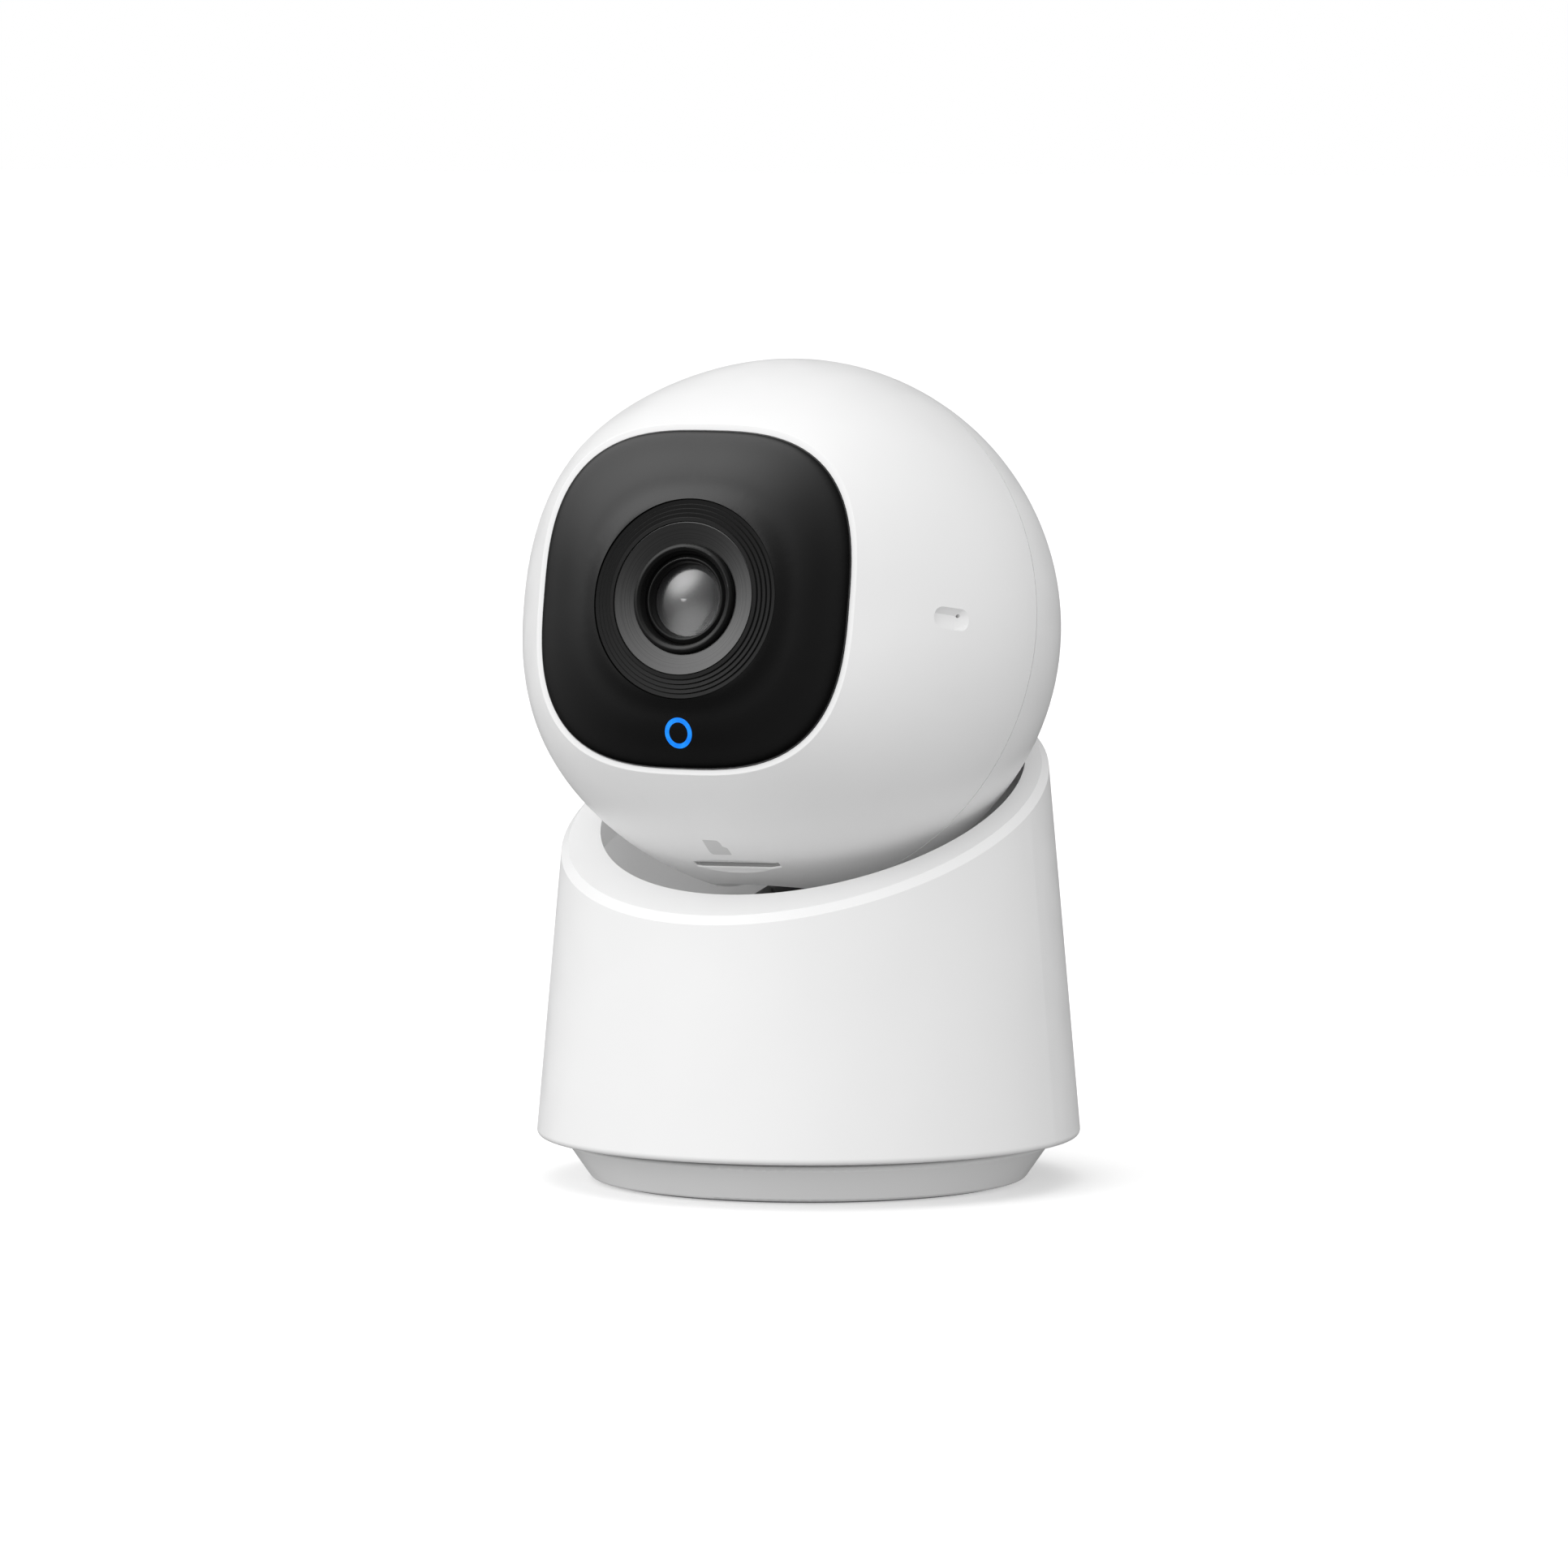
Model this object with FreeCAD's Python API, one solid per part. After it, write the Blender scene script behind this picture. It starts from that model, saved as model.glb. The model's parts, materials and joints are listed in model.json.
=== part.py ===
import FreeCAD, Part
import math
import os

# Indoor pan and tilt security camera: a ball head in a tapered turret on a small fixed foot.
# Millimetres. The origin is on the floor, on the pan axis. +Z is up, and the lens looks along -Y.
# Head pieces are built in the lens frame: x to the side, y up the window, z out along the lens.

V = FreeCAD.Vector

# ---- driving dimensions ----
BALL_R = 36.5                # outer radius of the ball head
BALL_Y = -5.1                # ball centre, ahead of the pan axis
BALL_Z = 75.73               # ball centre, above the floor
REST_TILT = 9.8              # degrees that the lens looks up at rest
TILT_HIGH = 65.0             # highest elevation of the lens
WALL = 2.2                   # wall of the ball shells
SEAM_H = 0.3                 # plane where the two ball shells meet
SEAM_GAP = 0.2               # open joint line between them
LIP_H = 29.6                 # plane of the flat lip round the window
WINDOW_HALF = 22.64          # half width of the window
SQUARENESS = 2.88            # superellipse exponent at the window
LENS_R = 13.4                # outer radius of the grooved lens bezel
BEZEL_H = 32.77              # where the bezel meets the window

FOOT_R = 29.7                # foot radius at the floor
FOOT_TOP_R = 33.3            # foot radius under the turret
FOOT_TOP = 5.5               # height of the foot
FOOT_LIFT = 0.35             # gap under the foot plastic, taken up by the rubber pad
SHELL_LOW = 6.07             # lower edge of the turret shell
SHELL_R0 = 37.77             # radius of the turret cone carried down to the floor
SHELL_TAPER = 0.088          # loss of radius per millimetre of height
SHELL_WALL = 1.6
RIM_Z = 52.285               # height of the slanted rim plane on the pan axis
RIM_CHAMFER = 0.9            # flat bevel round the outside of the rim
RIM_SLOPE = 0.399            # rise of the rim plane along +Y
WELL_Y = 1.5                 # centre of the round opening in the rim
WELL_R = 30.13               # radius of that opening carried down to the floor
WELL_TAPER = 0.021
BOWL_R = 41.7                # inner radius of the bowl under the ball
NECK_R = 6.0                 # radius of the neck
NECK_Y = 1.85                # axis of the neck, behind the ball centre
NECK_BACK = 8.0              # flat back of the neck, behind the tilt axis
NECK_TOP = 4.0               # the same, beside the tilt axis
TILT_HUB_R = 4.2             # cross barrel of the neck that holds the tilt pins
TILT_MESH = 90.0             # angle of the tilt gear's tooth that is in mesh at rest
MIC_ANGLE = 61.4             # microphone recess, degrees from the lens axis towards +X
SLOT_R = 8.2                 # half width of the slot in the ball for the neck
SLOT_NOSE = -0.8             # centre of the slot's round front end, in the lens frame
CARD_LOW = 12.5              # memory card slot, from the seam side to the lens side
CARD_HIGH = 13.9
SCOOP_R = 4.5                # finger scoop across that slot
SCOOP_DEPTH = 0.45

GEAR_MODULE = 0.6
SUN_TEETH = 40               # fixed gear on the foot
TILT_TEETH = 30              # fixed gear on the neck
PINION_TEETH = 10
PAN_GAP = GEAR_MODULE * (SUN_TEETH + PINION_TEETH) / 2
TILT_GAP = GEAR_MODULE * (TILT_TEETH + PINION_TEETH) / 2
HUB_R = 9.0                  # foot hub that the turret turns on
THREAD_R = 3.175             # quarter-inch tripod thread in the foot, nominal radius
FILTER_TRAVEL = 6.5          # slide of the infrared cut filter, across the lens
RUN_CLEAR = 0.05             # radial clearance of a running fit
POSTS = ((19.0, -14.0), (-19.0, -14.0), (19.0, 12.0), (-19.0, 12.0))
BOARD_POSTS = (15.5, -15.5)
FRAME_BOSSES = ((20.5, 13.0), (-20.5, 13.0), (20.5, -13.0), (-20.5, -13.0))

CENTRE = V(0, BALL_Y, BALL_Z)
nodes = {}


# ---- helpers ----
def outline(corners):
    """Closed wire through (x, y) or (x, y, radius) corners. A radius rounds that corner."""
    count = len(corners)
    starts = []
    ends = []
    mids = []
    for i, corner in enumerate(corners):
        here = V(corner[0], corner[1], 0)
        radius = corner[2] if len(corner) > 2 else 0.0
        before = corners[i - 1]
        after = corners[(i + 1) % count]
        back = (V(before[0], before[1], 0) - here).normalize()
        ahead = (V(after[0], after[1], 0) - here).normalize()
        if radius == 0.0:
            starts.append(here)
            ends.append(here)
            mids.append(None)
            continue
        half = back.getAngle(ahead) / 2
        cut = radius / math.tan(half)
        middle = here + (back + ahead).normalize() * (radius / math.sin(half) - radius)
        starts.append(here + back * cut)
        ends.append(here + ahead * cut)
        mids.append(middle)
    edges = []
    for i in range(count):
        if mids[i] is not None:
            edges.append(Part.Arc(starts[i], mids[i], ends[i]).toShape())
        following = starts[(i + 1) % count]
        if (following - ends[i]).Length > 1e-6:
            edges.append(Part.LineSegment(ends[i], following).toShape())
    return Part.Wire(edges)


def turned(corners):
    """Solid of revolution about z from a closed (radius, height) outline."""
    face = Part.Face(outline(corners))
    face.rotate(V(0, 0, 0), V(1, 0, 0), 90)
    return face.revolve(V(0, 0, 0), V(0, 0, 1), 360)


def plate(corners, low, high):
    """Flat plate of an (x, y) outline between two heights."""
    face = Part.Face(outline(corners))
    face.translate(V(0, 0, low))
    return face.extrude(V(0, 0, high - low))


def block(x, y, z, corner=0.0):
    """Box between two limits in x, y and z, with its upright corners rounded."""
    corners = [(x[0], y[0], corner), (x[1], y[0], corner), (x[1], y[1], corner), (x[0], y[1], corner)]
    return plate(corners, z[0], z[1])


def rod(radius, low, high, x=0.0, y=0.0):
    return Part.makeCylinder(radius, high - low, V(x, y, low))


def rod_x(radius, low, high, y=0.0, z=0.0):
    return Part.makeCylinder(radius, high - low, V(low, y, z), V(1, 0, 0))


def tube(outer, inner, low, high, x=0.0, y=0.0):
    return rod(outer, low, high, x, y).cut(rod(inner, low - 1, high + 1, x, y))


def fused(shapes):
    whole = shapes[0]
    for shape in shapes[1:]:
        whole = whole.fuse(shape)
    return whole.removeSplitter()


def screw(x, y, head_z, length, radius=1.0, up=False):
    """Pan head screw with a cross recess. It points down from its head, or up."""
    head = turned([(0, 0), (radius * 2, 0), (radius * 2, radius, radius * 0.6), (0, radius * 1.3)])
    recess = radius * 0.25
    for size_x, size_y in ((radius * 1.1, recess), (recess, radius * 1.1)):
        head = head.cut(block((-size_x, size_x), (-size_y, size_y), (radius * 0.6, radius * 2)))
    body = head.fuse(rod(radius, -length, 0))
    if up:
        body.rotate(V(0, 0, 0), V(1, 0, 0), 180)
    body.translate(V(x, y, head_z))
    return body


def gear(teeth, low, high, bore, angle):
    """Spur gear about z with involute flanks. A tooth is centred on the angle, in degrees."""
    pitch = GEAR_MODULE * teeth / 2
    base = pitch * math.cos(math.radians(20))
    tip = pitch + 0.9 * GEAR_MODULE
    root = pitch - 1.2 * GEAR_MODULE
    half_pitch_angle = 0.44 * math.pi / teeth
    involute_at_pitch = math.tan(math.acos(base / pitch)) - math.acos(base / pitch)
    flank = []
    for step in range(4):
        radius = max(base, root) + (tip - max(base, root)) * step / 3
        pressure = math.acos(min(1.0, base / radius))
        turn = math.tan(pressure) - pressure
        flank.append((radius, half_pitch_angle + involute_at_pitch - turn))
    if root < base:
        flank.insert(0, (root, flank[0][1]))
    corners = []
    for tooth in range(teeth):
        middle = math.radians(angle) + 2 * math.pi * tooth / teeth
        for radius, half in flank:
            corners.append((radius * math.cos(middle - half), radius * math.sin(middle - half)))
        for radius, half in reversed(flank):
            corners.append((radius * math.cos(middle + half), radius * math.sin(middle + half)))
    return plate(corners, low, high).cut(rod(bore, low - 1, high + 1))


def along_x(shape):
    """Turns a shape built about z so that its z lies along x."""
    turned_shape = shape.copy()
    turned_shape.rotate(V(0, 0, 0), V(0, 1, 0), 90)
    return turned_shape


def squircle(half, exponent, height, lift=0.0, points=40):
    """Closed superellipse wire at a height of the lens frame."""
    ring = []
    for i in range(points):
        angle = 2 * math.pi * i / points + math.pi / 2
        c = abs(math.cos(angle)) ** exponent
        s = abs(math.sin(angle)) ** exponent
        radius = half * (c + s) ** (-1.0 / exponent)
        ring.append(V(radius * math.cos(angle), radius * math.sin(angle) + lift, height))
    curve = Part.BSplineCurve()
    curve.interpolate(Points=ring, PeriodicFlag=True)
    return Part.Wire(curve.toShape())


def front_half(height, inset):
    """Half width of the front shell at a height: a sphere that swells towards the lip."""
    radius = BALL_R - inset
    swell = 94.4 * max(0.0, (height + inset * 0.8 - 10.0) / (LIP_H - 10.0)) ** 3
    return math.sqrt(radius ** 2 - height ** 2 + swell)


def front_body(inset, low, high, sections=14):
    """Solid whose sections grow from round at the seam to a squircle at the lip."""
    wires = []
    for i in range(sections):
        height = low + (high - low) * i / (sections - 1)
        share = max(0.0, min(1.0, (height + inset * 0.8) / LIP_H))
        exponent = 2 + (SQUARENESS - 2) * share ** 2.65
        wires.append(squircle(front_half(height, inset), exponent, height, 0.35 * share ** 3))
    return Part.makeLoft(wires, True, False)


def crown_height(half):
    """Height of the crowned window over a squircle of that half width."""
    return 34.15 - half ** 2 / 126.6


def crown_body(rings, low):
    """Solid from a flat foot up through crown rings of (half width, height)."""
    wires = []
    for half, height in rings:
        share = half / WINDOW_HALF
        exponent = 2 + (SQUARENESS - 2) * min(1.0, share) ** 2.2
        wires.append(squircle(half, exponent, height, 0.3 * share ** 3))
    crown = Part.makeLoft(wires, True, False)
    foot = Part.Face(squircle(rings[0][0], SQUARENESS, low, 0.3))
    return fused([foot.extrude(V(0, 0, rings[0][1] - low)), crown])


def on_ball(shape, forward):
    """Moves a shape built at the origin with z outward onto the ball's underside.
    forward is the angle from the bottom of the ball towards the lens."""
    placed = shape.copy()
    placed.translate(V(0, 0, BALL_R))
    placed.rotate(V(0, 0, 0), V(1, 0, 0), 90 - forward)
    return placed


def sector_x(inner, outer, half_width, start, end):
    """Ring sector about x. Angles run from straight down, towards +z of the lens frame."""
    face = Part.Face(outline([(-half_width, -outer), (half_width, -outer), (half_width, -inner),
                              (-half_width, -inner)]))
    face.rotate(V(0, 0, 0), V(1, 0, 0), -start)
    return face.revolve(V(0, 0, 0), V(-1, 0, 0), end - start)


def card_scoop(radius):
    """Finger scoop across the memory card slot: a cylinder that dips into the ball."""
    scoop = rod_x(radius, -6.5, 6.5, 0, SCOOP_R - SCOOP_DEPTH)
    scoop = on_ball(scoop, 21.7)
    scoop.rotate(V(0, 0, 0), V(0, 0, 1), 1.1)
    return scoop


def in_head(shape):
    """Turns a shape from the lens frame to the rest tilt and moves it to the ball centre."""
    placed = shape.copy()
    placed.rotate(V(0, 0, 0), V(1, 0, 0), 90 - REST_TILT)
    placed.translate(CENTRE)
    return placed


def head(name, shape):
    nodes[name] = in_head(shape)


def rim_slab(offset, thickness):
    """Everything within a thickness above a plane parallel to the slanted rim."""
    slope = math.degrees(math.atan(RIM_SLOPE))
    slab = Part.makeBox(200, 200, thickness, V(-100, -100, 0))
    slab.rotate(V(0, 0, 0), V(1, 0, 0), slope)
    slab.translate(V(0, 0, RIM_Z + offset))
    return slab


def cone(radius_at_floor, taper, low, high, y=0.0):
    return Part.makeCone(radius_at_floor - taper * low, radius_at_floor - taper * high, high - low, V(0, y, low))


# ---- foot ----
def make_foot():
    gear_low = 9.2
    gear_top = 12.6
    insert_top = 8.0
    body = turned([(0, FOOT_LIFT), (FOOT_R, FOOT_LIFT, 0.9), (FOOT_TOP_R, FOOT_TOP, 0.5),
                   (FOOT_TOP_R - 2.0, FOOT_TOP), (FOOT_R - 2.4, 2.2), (HUB_R + 3.0, 2.2),
                   (HUB_R + 3.0, 6.3), (HUB_R, 6.3), (HUB_R, gear_low), (3.0, gear_low),
                   (3.0, gear_top, 0.3), (0, gear_top)])
    body = body.cut(tube(28.0, 23.0, -1, FOOT_LIFT + 0.6))
    body = body.cut(rod(4.4, -1, insert_top))
    plate_steel = tube(26.8, HUB_R + 3.3, 2.2, 4.4)
    sun = gear(SUN_TEETH, gear_low, gear_top, 3.0, 180)
    screws = []
    for i in range(3):
        angle = math.radians(120 * i + 30)
        x = math.cos(angle)
        y = math.sin(angle)
        ballast_hole = rod(0.8, 1.2, 5.0, 18 * x, 18 * y)
        gear_hole = rod(0.8, 5.0, gear_top + 1, 6.6 * x, 6.6 * y)
        body = body.cut(ballast_hole).cut(gear_hole)
        plate_steel = plate_steel.cut(ballast_hole)
        sun = sun.cut(gear_hole)
        screws.append(screw(18 * x, 18 * y, 4.4, 3.2, 0.8))
        screws.append(screw(6.6 * x, 6.6 * y, gear_top, 7.0, 0.8))
    nodes["foot_base"] = body
    nodes["foot_pad"] = tube(27.9, 23.1, 0, FOOT_LIFT + 0.6)
    nodes["ballast_plate"] = plate_steel
    nodes["foot_screws"] = Part.makeCompound(screws)
    nodes["thread_insert"] = tube(4.4, THREAD_R, 0.4, insert_top)
    nodes["pan_sun_gear"] = sun


# ---- turret ----
def make_turret_shell():
    top = 70.0
    well = cone(WELL_R, WELL_TAPER, 33.9, top, WELL_Y)
    body = cone(SHELL_R0, SHELL_TAPER, SHELL_LOW, top).cut(rim_slab(0, 60))
    body = body.cut(well)
    hollow = cone(SHELL_R0 - SHELL_WALL, SHELL_TAPER, SHELL_LOW - 1, 66)
    hollow = hollow.cut(rim_slab(-2.2, 60))
    well_wall = cone(WELL_R + 1.5, WELL_TAPER, 33.9, top, WELL_Y)
    hollow = hollow.cut(well_wall)
    body = body.cut(hollow)
    rim_edges = []
    for edge in body.Edges:
        box = edge.BoundBox
        if box.XLength > 60 and box.ZLength > 20 and box.YLength > 64:
            rim_edges.append(edge)
    body = body.makeChamfer(RIM_CHAMFER, rim_edges[:1])
    low_edges = [e for e in body.Edges if e.BoundBox.XLength > 74 and e.BoundBox.ZMax < SHELL_LOW + 0.03]
    body = body.makeFillet(0.8, low_edges)
    # USB-C opening, reset button hole, speaker grille and chassis seat
    back = SHELL_R0
    recess = block((-6.2, 6.2), (-3.5, 3.5), (35.5, back + 2), 3.4)
    inlet = block((-4.6, 4.6), (-1.75, 1.75), (30, back + 2), 1.7)
    for cutter in (recess, inlet):
        cutter.rotate(V(0, 0, 0), V(1, 0, 0), -90)
        cutter.translate(V(0, 0, 12.0))
        body = body.cut(cutter)
    body = body.cut(Part.makeCylinder(1.8, 12, V(12.0, 28, 12.0), V(0, 1, 0)))
    for row in range(5):
        for column in range(7):
            x = (column - 3 + 0.5 * (row % 2)) * 2.1
            z = 24.3 + (row - 2) * 1.9
            if math.hypot(x, z - 24.3) < 6.2:
                body = body.cut(Part.makeCylinder(0.55, 12, V(x, 28, z), V(0, 1, 0)))
    nodes["base_shell"] = body


def make_chassis():
    disc = rod(SHELL_R0 - SHELL_WALL - SHELL_TAPER * 8.6 - 0.02, 6.6, 8.6)
    disc = disc.cut(rod(HUB_R + RUN_CLEAR, 5, 10))
    posts = [rod(2.6, 8.6, 25.5, x, y) for x, y in POSTS]
    posts.append(rod(3.4, 8.6, 14.0, -28.5, 0))
    posts.append(rod(2.0, 8.6, 12.0, 12.0, -26.0))
    posts.append(rod(2.0, 8.6, 12.0, -12.0, -26.0))
    body = fused([disc] + posts)
    for x, y in POSTS:
        body = body.cut(rod(0.9, 16, 26, x, y))
    for x in (12.0, -12.0):
        body = body.cut(rod(0.9, 9, 13, x, -26.0))
    body = body.cut(rod(0.9, 9, 15, -28.5, 0))
    nodes["chassis_plate"] = body
    washers = [tube(HUB_R + 3.0, HUB_R + 0.1, 6.35, 6.6), tube(HUB_R + 3.0, HUB_R + 0.1, 8.6, 9.1)]
    nodes["pan_thrust_washers"] = Part.makeCompound(washers)


def make_bowl_and_neck():
    outer = Part.makeSphere(BOWL_R + 1.3, CENTRE)
    bowl = outer.cut(Part.makeSphere(BOWL_R, CENTRE))
    bowl = bowl.common(cone(WELL_R - 0.05, WELL_TAPER, 20, 56, WELL_Y))
    bowl = bowl.cut(rim_slab(-1.0, 60))
    bowl = bowl.cut(rod(NECK_R + 0.4, 20, 50, 0, NECK_Y))
    nodes["well_bowl"] = bowl

    column = rod(NECK_R, 28.0, BALL_Z - 4.0, 0, NECK_Y)
    column = column.common(block((-20, 20), (-20, BALL_Y + NECK_BACK), (0, 100)))
    column = column.cut(block((-20, 20), (BALL_Y + NECK_TOP, 40), (BALL_Z - 14, 100)))
    shoulder = block((-NECK_R, NECK_R), (BALL_Y - 2.4, BALL_Y + NECK_TOP), (BALL_Z - 14, BALL_Z))
    shoulder = shoulder.common(rod(9.0, 0, 100, 0, BALL_Y + 6.6))
    barrel = rod_x(TILT_HUB_R, -19.0, 19.0, BALL_Y, BALL_Z)
    flange = block((-23, 23), (-18, 16), (25.5, 28.0), 4.0)
    core = column.copy()
    neck = fused([column, shoulder, barrel, flange])
    pins = []
    for low in (12.0, -24.0):
        pin = rod_x(2.5, low, low + 12.0, BALL_Y, BALL_Z)
        neck = neck.cut(pin)
        pins.append(pin)
    neck = neck.cut(rod(2.4, 20, BALL_Z - 12, 0, -0.6))
    for x, y in POSTS:
        neck = neck.cut(rod(0.9, 24, 30, x, y))
    nodes["neck"] = neck
    nodes["tilt_pins"] = Part.makeCompound(pins)
    # trumpet collar that fills the bowl round the neck, just clear of the ball
    collar = Part.makeCone(17.5, 5.0, 7.8, V(0, NECK_Y, 33.0)).cut(core)
    collar = collar.common(Part.makeSphere(BOWL_R - 0.05, CENTRE))
    nodes["neck_collar"] = collar.cut(Part.makeSphere(BALL_R + 0.4, CENTRE))
    nodes["neck_screws"] = Part.makeCompound([screw(x, y, 28.0, 8.0, 0.9) for x, y in POSTS])

    # curved blade behind the neck that closes the ball's slot from inside
    blade = Part.makeSphere(33.8).cut(Part.makeSphere(33.0))
    blade = blade.common(sector_x(25.0, 40.0, 12.2, -88.0, -5.0))
    blade.rotate(V(0, 0, 0), V(1, 0, 0), 90)
    blade.translate(CENTRE)
    rib = block((-1.0, 1.0), (BALL_Y + 5.0, BALL_Y + 16.0), (BALL_Z - 31.0, BALL_Z - 20.0))
    blade = fused([blade, rib.common(Part.makeSphere(33.4, CENTRE))])
    nodes["slot_shield"] = blade.cut(core)

    sun = along_x(gear(TILT_TEETH, 10.8, 12.8, TILT_HUB_R, TILT_MESH))
    nodes["tilt_sun_gear"] = in_head(sun)


def make_pan_drive():
    motor_z = 14.0
    can = turned([(0, motor_z), (10.0, motor_z, 0.6), (10.0, motor_z + 9.5, 0.8), (0, motor_z + 9.5)])
    ear = block((-15.5, 4.0), (-3.0, 3.0), (motor_z, motor_z + 0.8), 1.5)
    can = fused([can, ear])
    can.translate(V(-PAN_GAP, 0, 0))
    can = can.cut(rod(1.0 + RUN_CLEAR, 10, motor_z + 3.0, -PAN_GAP, 0))
    can = can.cut(rod(0.9, 10, 20, -28.5, 0))
    nodes["pan_motor"] = can
    pinion = gear(PINION_TEETH, 9.4, 12.4, 0.9, 180.0 / PINION_TEETH)
    pinion = fused([pinion, rod(1.0, 9.4, motor_z + 2.6)])
    pinion.translate(V(-PAN_GAP, 0, 0))
    nodes["pan_pinion"] = pinion


def make_base_electronics():
    board = block((-16, 16), (-29, -18), (12.0, 13.2), 1.5)
    chips = [block((-4, 4), (-26, -19.5), (13.2, 14.4), 0.3), block((6, 9), (-23, -20), (13.2, 16.0), 0.3),
             block((-10, -6.5), (-22.5, -19.5), (13.2, 14.6), 0.3), rod(1.8, 13.2, 17.0, 13.5, -21.0)]
    board = fused([board] + chips)
    base_screws = [screw(-28.5, 0, 14.8, 4.0, 0.9)]
    for x in (12.0, -12.0):
        board = board.cut(rod(0.9, 11, 14, x, -26.0))
        base_screws.append(screw(x, -26.0, 13.2, 4.0, 0.9))
    nodes["base_board"] = board
    nodes["base_screws"] = Part.makeCompound(base_screws)
    nodes["port_board"] = block((-11.5, 15.5), (22.0, 30.3), (8.6, 9.8), 0.5)
    # the receptacle is a rounded steel tube with a tongue inside
    socket = block((-4.5, 4.5), (-1.6, 1.6), (27.0, 35.6), 1.55)
    bore = block((-4.2, 4.2), (-1.3, 1.3), (28.0, 37.0), 1.25)
    socket = socket.cut(bore)
    socket = socket.fuse(block((-3.3, 3.3), (-0.35, 0.35), (27.5, 34.4)))
    socket.rotate(V(0, 0, 0), V(1, 0, 0), -90)
    socket.translate(V(0, 0, 12.0))
    feet = block((-4.5, 4.5), (27.4, 30.2), (9.8, 10.6))
    nodes["usb_socket"] = fused([socket, feet])
    # reset switch body, and the button that travels into it
    nodes["reset_switch"] = block((9.6, 14.4), (24.5, 30.5), (9.8, 14.2), 0.4)
    button = Part.makeCylinder(1.72, 3.2, V(12.0, 31.9, 12.0), V(0, 1, 0))
    button = button.makeFillet(0.3, [e for e in button.Edges if e.BoundBox.YMin > 35.0])
    button = button.fuse(Part.makeCylinder(2.3, 0.7, V(12.0, 31.2, 12.0), V(0, 1, 0)))
    nodes["reset_button"] = button.removeSplitter()
    # speaker facing the grille
    frame = turned([(0, 18.2), (5.6, 18.2), (5.6, 20.6), (4.6, 20.6), (4.6, 23.4), (8.6, 26.2), (8.6, 27.4),
                    (7.6, 27.4), (7.6, 26.9), (3.4, 24.0), (0, 24.0)])
    dome = turned([(0, 24.2), (3.2, 24.2), (7.5, 27.1), (7.5, 27.4), (6.9, 27.4), (3.0, 25.3), (0, 26.3)])
    for name, shape in (("speaker_frame", frame), ("speaker_cone", dome)):
        shape.rotate(V(0, 0, 0), V(1, 0, 0), -90)
        shape.translate(V(0, 0.4, 24.3))
        nodes[name] = shape


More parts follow.
